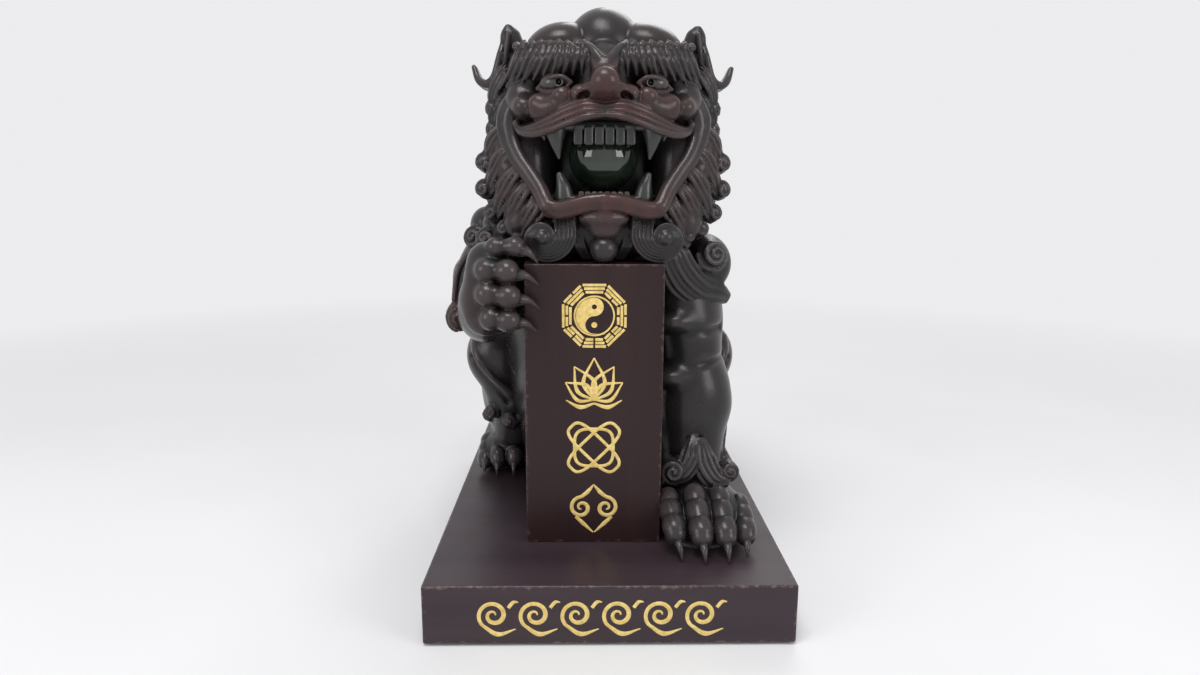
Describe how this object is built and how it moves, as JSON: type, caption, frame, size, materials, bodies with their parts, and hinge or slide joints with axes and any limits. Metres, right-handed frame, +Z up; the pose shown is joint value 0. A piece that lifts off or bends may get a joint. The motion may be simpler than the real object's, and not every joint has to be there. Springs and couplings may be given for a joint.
{
  "type": "guardian lion statue",
  "caption": "Seated dark guardian lion on a lacquered plinth, one paw on an upright stele, with a loose polished ball in its open mouth.",
  "frame": {"origin": "centre of the felt underside, on the surface that the statue stands on", "axes": "+Z up, +Y from the lion's face to its back, +X to the lion's own left"},
  "size_m": [0.15, 0.23, 0.256],
  "materials": {
    "casting": "glossy dark brown-black cast resin, rubbed reddish on the high points",
    "lacquer": "satin dark reddish-brown lacquer",
    "felt": "matt felt",
    "dowel_wood": "bare wood",
    "steel": "plated steel",
    "eyes": "glossy dark resin",
    "teeth": "glossy grey-green resin",
    "ball": "polished dark green glass"
  },
  "bodies": {
    "statue": {"plinth": "lacquer", "base_felt": "felt", "stele": "lacquer", "stele_dowels": "dowel_wood", "screw_washers": "steel", "fixing_screws": "steel", "torso": "casting", "neck_dowel": "dowel_wood", "leg_dowels": "dowel_wood", "tail_dowel": "dowel_wood", "standing_foreleg": "casting", "raised_foreleg": "casting", "hind_leg_left": "casting", "hind_leg_right": "casting", "head": "casting", "eyes": "eyes", "lower_jaw": "casting", "jaw_pins": "steel", "upper_teeth": "teeth", "lower_teeth": "teeth", "tongue": "casting", "ear_left": "casting", "ear_right": "casting", "beard": "casting", "mane": "casting", "tail": "casting"},
    "ball": {"mouth_ball": "ball"}
  },
  "joints": [
    {"name": "ball_roll", "type": "hinge", "parent": "statue", "child": "ball", "pos_m": [-0.0025, -0.0547, 0.1937], "axis": [1, 0, 0], "continuous": true}
  ]
}
